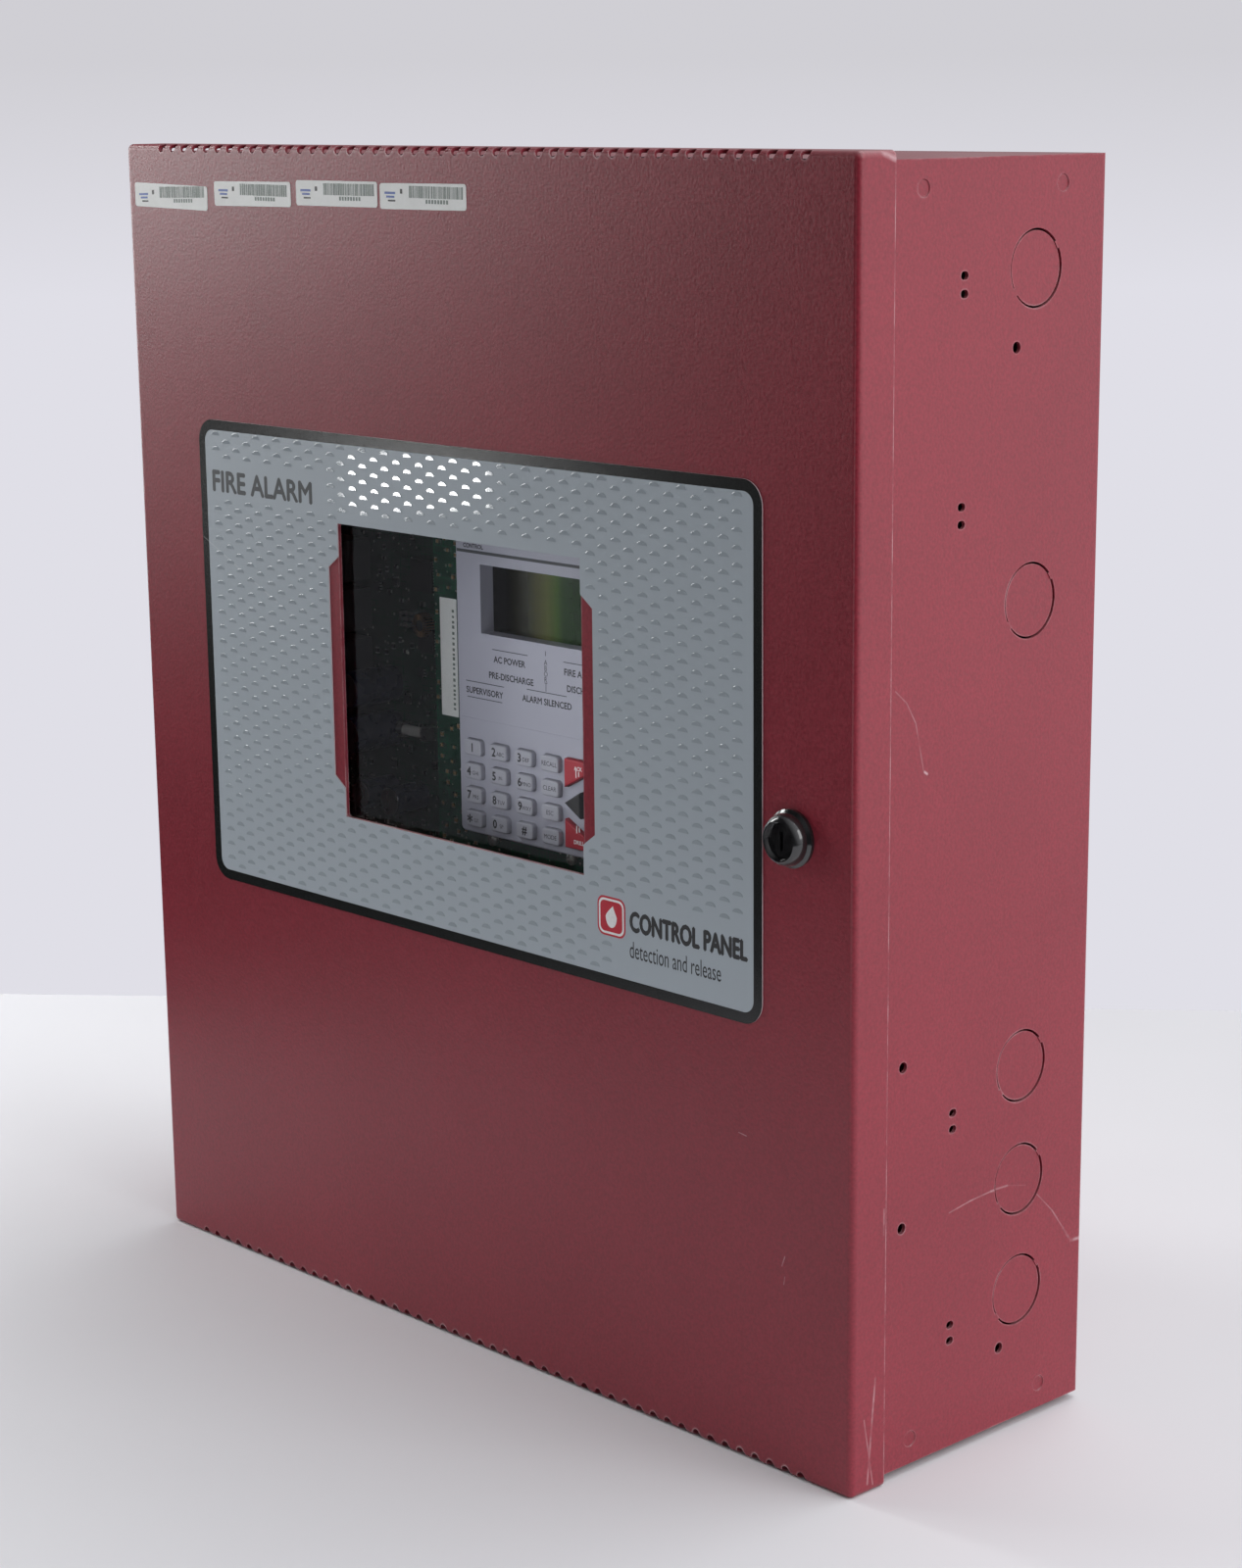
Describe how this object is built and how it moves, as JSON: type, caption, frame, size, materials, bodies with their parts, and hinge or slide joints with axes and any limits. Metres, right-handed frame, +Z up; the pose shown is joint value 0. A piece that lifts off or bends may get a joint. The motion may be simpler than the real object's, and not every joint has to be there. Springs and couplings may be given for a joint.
{
  "type": "fire alarm control panel",
  "caption": "Wall-mounted red steel cabinet with a hinged, windowed door and cam lock, holding an alarm display, keypad, circuit boards and transformer.",
  "frame": {"origin": "middle of the back wall's outer face, which lies on the wall", "axes": "+X to the right as seen from the front, +Y into the wall, +Z up"},
  "size_m": [0.4315, 0.1434, 0.4892],
  "materials": {
    "red_paint": "textured powder coat",
    "overlay_print": "embossed printed sheet",
    "clear_pane": "clear polycarbonate",
    "foam_tape": "closed-cell foam",
    "tag_paper": "coated paper",
    "lock_black": "gloss black",
    "zinc_plate": "zinc plated",
    "chassis_steel": "galvanised",
    "board_green": "solder mask",
    "terminal_green": "moulded nylon",
    "relay_black": "moulded case",
    "capacitor_sleeve": "shrink sleeve",
    "chip_black": "moulded epoxy",
    "sink_aluminium": "extruded",
    "housing_grey": "moulded and overlaid",
    "lcd_green": "polarised glass over a lit panel",
    "lcd_frame": "black frame",
    "core_steel": "varnished laminations",
    "coil_tape": "insulating tape",
    "lead_insulation": "wire insulation",
    "ribbon_grey": "flat cable",
    "key_grey": "silicone rubber",
    "key_red": "silicone rubber",
    "key_black": "silicone rubber"
  },
  "bodies": {
    "cabinet": {"backbox": "red_paint", "bottom_panel": "red_paint", "box_hinge_leaves": "red_paint", "capacitors": "capacitor_sleeve", "chassis": "chassis_steel", "display_board": "board_green", "display_housing": "housing_grey", "heat_sinks": "sink_aluminium", "hinge_pins": "zinc_plate", "ic_chips": "chip_black", "lcd_glass": "lcd_green", "lcd_module": "lcd_frame", "main_board": "board_green", "pan_head_screws": "zinc_plate", "relays": "relay_black", "ribbon_cable": "ribbon_grey", "standoffs": "zinc_plate", "stud_nuts": "zinc_plate", "terminal_blocks": "terminal_green", "top_panel": "red_paint", "transformer_brackets": "chassis_steel", "transformer_coil": "coil_tape", "transformer_core": "core_steel", "transformer_leads": "lead_insulation"},
    "door": {"door": "red_paint", "door_hinge_leaves": "red_paint", "overlay_label": "overlay_print", "window_pane": "clear_pane", "window_tape": "foam_tape", "lock_body": "lock_black", "lock_nut": "zinc_plate", "asset_tags": "tag_paper"},
    "lock": {"lock_plug": "lock_black", "lock_cam": "zinc_plate", "lock_cam_screw": "zinc_plate"},
    "key_0": {"key_0": "key_grey"},
    "key_1": {"key_1": "key_grey"},
    "key_2": {"key_2": "key_grey"},
    "key_3": {"key_3": "key_grey"},
    "key_4": {"key_4": "key_grey"},
    "key_5": {"key_5": "key_grey"},
    "key_6": {"key_6": "key_grey"},
    "key_7": {"key_7": "key_grey"},
    "key_8": {"key_8": "key_grey"},
    "key_9": {"key_9": "key_grey"},
    "key_acknowledge": {"key_acknowledge": "key_red"},
    "key_clear": {"key_clear": "key_grey"},
    "key_down": {"key_down": "key_black"},
    "key_drill": {"key_drill": "key_red"},
    "key_enter": {"key_enter": "key_grey"},
    "key_escape": {"key_escape": "key_grey"},
    "key_hash": {"key_hash": "key_grey"},
    "key_left": {"key_left": "key_black"},
    "key_mode": {"key_mode": "key_grey"},
    "key_recall": {"key_recall": "key_grey"},
    "key_reset": {"key_reset": "key_grey"},
    "key_right": {"key_right": "key_black"},
    "key_silence": {"key_silence": "key_grey"},
    "key_star": {"key_star": "key_grey"},
    "key_up": {"key_up": "key_black"}
  },
  "joints": [
    {"name": "door_hinge", "type": "hinge", "parent": "cabinet", "child": "door", "pos_m": [-0.215, -0.114, 0], "axis": [0, 0, -1], "range_deg": [0, 170]},
    {"name": "lock_turn", "type": "hinge", "parent": "door", "child": "lock", "pos_m": [0.183, -0.1359, 0.0029], "axis": [0, -1, 0], "range_deg": [0, 90]},
    {"name": "key_0_press", "type": "slide", "parent": "cabinet", "child": "key_0", "axis": [0, 1, 0], "range_m": [0, 0.001], "stiffness_N_per_m": 300, "springref_m": -0.001},
    {"name": "key_1_press", "type": "slide", "parent": "cabinet", "child": "key_1", "axis": [0, 1, 0], "range_m": [0, 0.001], "stiffness_N_per_m": 300, "springref_m": -0.001},
    {"name": "key_2_press", "type": "slide", "parent": "cabinet", "child": "key_2", "axis": [0, 1, 0], "range_m": [0, 0.001], "stiffness_N_per_m": 300, "springref_m": -0.001},
    {"name": "key_3_press", "type": "slide", "parent": "cabinet", "child": "key_3", "axis": [0, 1, 0], "range_m": [0, 0.001], "stiffness_N_per_m": 300, "springref_m": -0.001},
    {"name": "key_4_press", "type": "slide", "parent": "cabinet", "child": "key_4", "axis": [0, 1, 0], "range_m": [0, 0.001], "stiffness_N_per_m": 300, "springref_m": -0.001},
    {"name": "key_5_press", "type": "slide", "parent": "cabinet", "child": "key_5", "axis": [0, 1, 0], "range_m": [0, 0.001], "stiffness_N_per_m": 300, "springref_m": -0.001},
    {"name": "key_6_press", "type": "slide", "parent": "cabinet", "child": "key_6", "axis": [0, 1, 0], "range_m": [0, 0.001], "stiffness_N_per_m": 300, "springref_m": -0.001},
    {"name": "key_7_press", "type": "slide", "parent": "cabinet", "child": "key_7", "axis": [0, 1, 0], "range_m": [0, 0.001], "stiffness_N_per_m": 300, "springref_m": -0.001},
    {"name": "key_8_press", "type": "slide", "parent": "cabinet", "child": "key_8", "axis": [0, 1, 0], "range_m": [0, 0.001], "stiffness_N_per_m": 300, "springref_m": -0.001},
    {"name": "key_9_press", "type": "slide", "parent": "cabinet", "child": "key_9", "axis": [0, 1, 0], "range_m": [0, 0.001], "stiffness_N_per_m": 300, "springref_m": -0.001},
    {"name": "key_acknowledge_press", "type": "slide", "parent": "cabinet", "child": "key_acknowledge", "axis": [0, 1, 0], "range_m": [0, 0.001], "stiffness_N_per_m": 300, "springref_m": -0.001},
    {"name": "key_clear_press", "type": "slide", "parent": "cabinet", "child": "key_clear", "axis": [0, 1, 0], "range_m": [0, 0.001], "stiffness_N_per_m": 300, "springref_m": -0.001},
    {"name": "key_down_press", "type": "slide", "parent": "cabinet", "child": "key_down", "axis": [0, 1, 0], "range_m": [0, 0.001], "stiffness_N_per_m": 300, "springref_m": -0.001},
    {"name": "key_drill_press", "type": "slide", "parent": "cabinet", "child": "key_drill", "axis": [0, 1, 0], "range_m": [0, 0.001], "stiffness_N_per_m": 300, "springref_m": -0.001},
    {"name": "key_enter_press", "type": "slide", "parent": "cabinet", "child": "key_enter", "axis": [0, 1, 0], "range_m": [0, 0.001], "stiffness_N_per_m": 300, "springref_m": -0.001},
    {"name": "key_escape_press", "type": "slide", "parent": "cabinet", "child": "key_escape", "axis": [0, 1, 0], "range_m": [0, 0.001], "stiffness_N_per_m": 300, "springref_m": -0.001},
    {"name": "key_hash_press", "type": "slide", "parent": "cabinet", "child": "key_hash", "axis": [0, 1, 0], "range_m": [0, 0.001], "stiffness_N_per_m": 300, "springref_m": -0.001},
    {"name": "key_left_press", "type": "slide", "parent": "cabinet", "child": "key_left", "axis": [0, 1, 0], "range_m": [0, 0.001], "stiffness_N_per_m": 300, "springref_m": -0.001},
    {"name": "key_mode_press", "type": "slide", "parent": "cabinet", "child": "key_mode", "axis": [0, 1, 0], "range_m": [0, 0.001], "stiffness_N_per_m": 300, "springref_m": -0.001},
    {"name": "key_recall_press", "type": "slide", "parent": "cabinet", "child": "key_recall", "axis": [0, 1, 0], "range_m": [0, 0.001], "stiffness_N_per_m": 300, "springref_m": -0.001},
    {"name": "key_reset_press", "type": "slide", "parent": "cabinet", "child": "key_reset", "axis": [0, 1, 0], "range_m": [0, 0.001], "stiffness_N_per_m": 300, "springref_m": -0.001},
    {"name": "key_right_press", "type": "slide", "parent": "cabinet", "child": "key_right", "axis": [0, 1, 0], "range_m": [0, 0.001], "stiffness_N_per_m": 300, "springref_m": -0.001},
    {"name": "key_silence_press", "type": "slide", "parent": "cabinet", "child": "key_silence", "axis": [0, 1, 0], "range_m": [0, 0.001], "stiffness_N_per_m": 300, "springref_m": -0.001},
    {"name": "key_star_press", "type": "slide", "parent": "cabinet", "child": "key_star", "axis": [0, 1, 0], "range_m": [0, 0.001], "stiffness_N_per_m": 300, "springref_m": -0.001},
    {"name": "key_up_press", "type": "slide", "parent": "cabinet", "child": "key_up", "axis": [0, 1, 0], "range_m": [0, 0.001], "stiffness_N_per_m": 300, "springref_m": -0.001}
  ]
}
